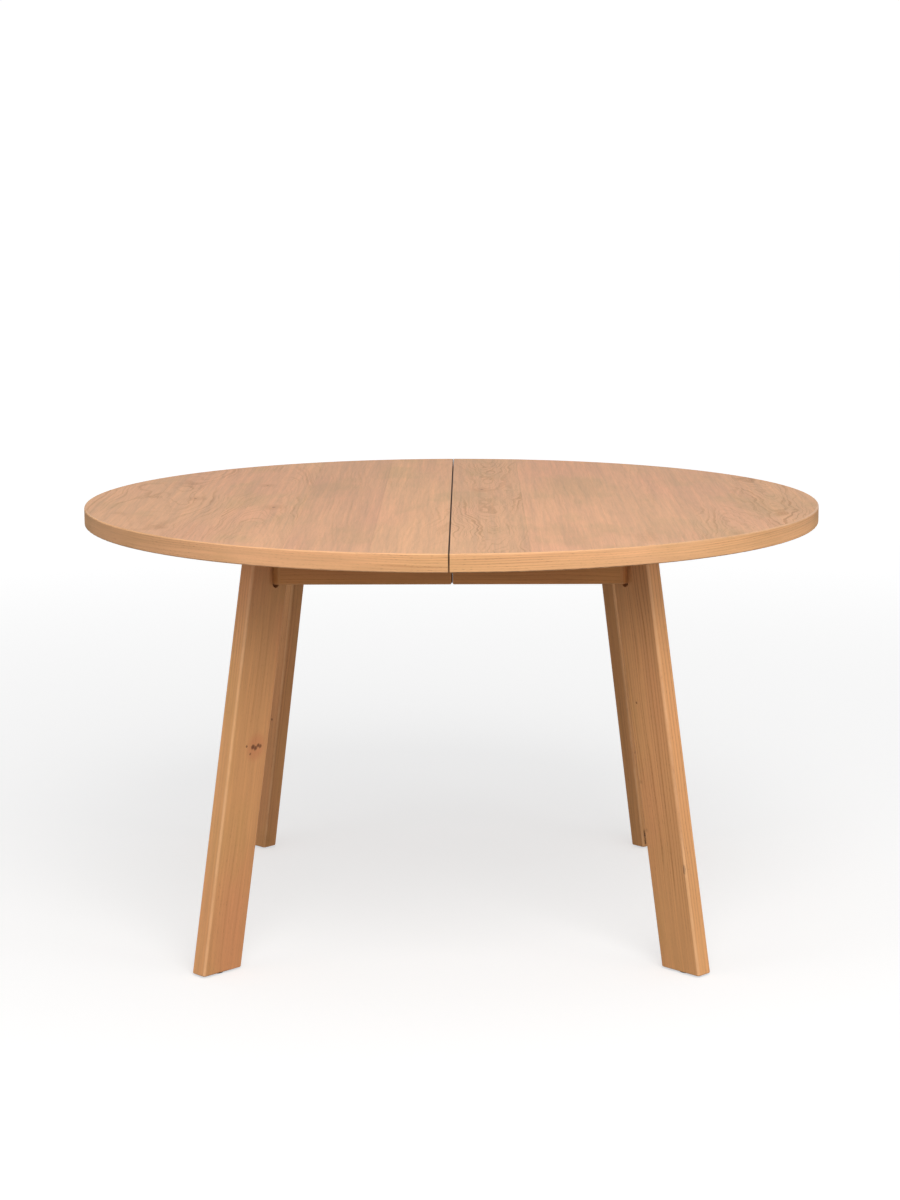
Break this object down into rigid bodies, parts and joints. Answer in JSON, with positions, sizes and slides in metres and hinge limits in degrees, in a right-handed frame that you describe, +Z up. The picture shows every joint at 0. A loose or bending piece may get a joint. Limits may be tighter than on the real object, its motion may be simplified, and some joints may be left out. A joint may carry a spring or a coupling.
{
  "type": "extendable dining table",
  "caption": "Round oak dining table split across the middle; the halves slide apart on telescopic slides to take a leaf.",
  "frame": {"origin": "on the floor, below the middle of the seam, at the centre of the round top", "axes": "+Z up; +X is the way the right half slides out; +Y to the back, along the seam and the grain of the top"},
  "size_m": [1.2998, 1.3, 0.745],
  "materials": {
    "oak_top": "oak veneer with clear matt lacquer, grain from front to back",
    "oak_lipping": "solid oak edge band with clear matt lacquer, grain along the edge",
    "oak_leg": "solid oak with clear matt lacquer, grain along the leg",
    "oak_rail": "solid oak with clear matt lacquer, grain along the rail",
    "beech_inner": "planed beech, unfinished",
    "beech_dowel": "fluted beech dowel",
    "nylon_glide": "dark brown moulded nylon",
    "slide_cage": "pressed ball cage with steel balls",
    "zinc_screw": "bright zinc plate",
    "zinc_slide": "zinc plated cold-rolled steel",
    "zinc_bolt": "bright zinc plate",
    "brass_insert": "turned brass",
    "brass_pin": "turned brass",
    "felt_pad": "dark pressed felt, self-adhesive",
    "black_lock": "black powder coat on pressed steel"
  },
  "bodies": {
    "left_half": {"left_back_corner_block": "oak_rail", "left_back_leg": "oak_leg", "left_back_rail": "oak_rail", "left_back_slide_bearer": "beech_inner", "left_cross_rail": "beech_inner", "left_dowels": "beech_dowel", "left_edge_lipping": "oak_lipping", "left_end_rail": "oak_rail", "left_front_corner_block": "oak_rail", "left_front_leg": "oak_leg", "left_front_rail": "oak_rail", "left_front_slide_bearer": "beech_inner", "left_glides": "nylon_glide", "left_leg_bolts": "zinc_bolt", "left_leg_inserts": "brass_insert", "left_leg_washers": "zinc_bolt", "left_lock_bases": "black_lock", "left_lock_pivots": "black_lock", "left_lock_screws": "zinc_screw", "left_rail_pads": "felt_pad", "left_seam_pins": "brass_pin", "left_slide_screws": "zinc_screw", "left_top_panel": "oak_top", "left_top_screws": "zinc_screw", "front_slide_outer": "zinc_slide", "back_slide_outer": "zinc_slide"},
    "right_half": {"right_back_corner_block": "oak_rail", "right_back_leg": "oak_leg", "right_back_rail": "oak_rail", "right_back_slide_bearer": "beech_inner", "right_cross_rail": "beech_inner", "right_dowels": "beech_dowel", "right_edge_lipping": "oak_lipping", "right_end_rail": "oak_rail", "right_front_corner_block": "oak_rail", "right_front_leg": "oak_leg", "right_front_rail": "oak_rail", "right_front_slide_bearer": "beech_inner", "right_glides": "nylon_glide", "right_leg_bolts": "zinc_bolt", "right_leg_inserts": "brass_insert", "right_leg_washers": "zinc_bolt", "right_lock_keepers": "black_lock", "right_lock_screws": "zinc_screw", "right_slide_screws": "zinc_screw", "right_top_panel": "oak_top", "right_top_screws": "zinc_screw", "front_slide_inner": "zinc_slide", "back_slide_inner": "zinc_slide"},
    "front_slide_middle": {"front_slide_middle": "zinc_slide"},
    "front_slide_outer_cage": {"front_slide_outer_cage": "slide_cage"},
    "front_slide_inner_cage": {"front_slide_inner_cage": "slide_cage"},
    "front_lock_lever": {"front_lock_lever": "black_lock"},
    "back_slide_middle": {"back_slide_middle": "zinc_slide"},
    "back_slide_outer_cage": {"back_slide_outer_cage": "slide_cage"},
    "back_slide_inner_cage": {"back_slide_inner_cage": "slide_cage"},
    "back_lock_lever": {"back_lock_lever": "black_lock"}
  },
  "joints": [
    {"name": "table_extension", "type": "slide", "parent": "left_half", "child": "right_half", "axis": [1, 0, 0], "range_m": [0, 0.5]},
    {"name": "front_slide_outer_cage_travel", "type": "slide", "parent": "left_half", "child": "front_slide_outer_cage", "axis": [1, 0, 0], "range_m": [0, 0.125]},
    {"name": "front_slide_middle_travel", "type": "slide", "parent": "left_half", "child": "front_slide_middle", "axis": [1, 0, 0], "range_m": [0, 0.25]},
    {"name": "front_slide_inner_cage_travel", "type": "slide", "parent": "left_half", "child": "front_slide_inner_cage", "axis": [1, 0, 0], "range_m": [0, 0.375]},
    {"name": "back_slide_outer_cage_travel", "type": "slide", "parent": "left_half", "child": "back_slide_outer_cage", "axis": [1, 0, 0], "range_m": [0, 0.125]},
    {"name": "back_slide_middle_travel", "type": "slide", "parent": "left_half", "child": "back_slide_middle", "axis": [1, 0, 0], "range_m": [0, 0.25]},
    {"name": "back_slide_inner_cage_travel", "type": "slide", "parent": "left_half", "child": "back_slide_inner_cage", "axis": [1, 0, 0], "range_m": [0, 0.375]},
    {"name": "front_lock_pivot", "type": "hinge", "parent": "left_half", "child": "front_lock_lever", "pos_m": [-0.028, -0.43, 0.7045], "axis": [0, 0, -1], "range_deg": [0, 60]},
    {"name": "back_lock_pivot", "type": "hinge", "parent": "left_half", "child": "back_lock_lever", "pos_m": [-0.028, 0.43, 0.7045], "axis": [0, 0, 1], "range_deg": [0, 60]}
  ],
  "couplings": [
    {"joint": "front_slide_outer_cage_travel", "follows": "table_extension", "ratio": 0.25},
    {"joint": "front_slide_middle_travel", "follows": "table_extension", "ratio": 0.5},
    {"joint": "front_slide_inner_cage_travel", "follows": "table_extension", "ratio": 0.75},
    {"joint": "back_slide_outer_cage_travel", "follows": "table_extension", "ratio": 0.25},
    {"joint": "back_slide_middle_travel", "follows": "table_extension", "ratio": 0.5},
    {"joint": "back_slide_inner_cage_travel", "follows": "table_extension", "ratio": 0.75}
  ]
}
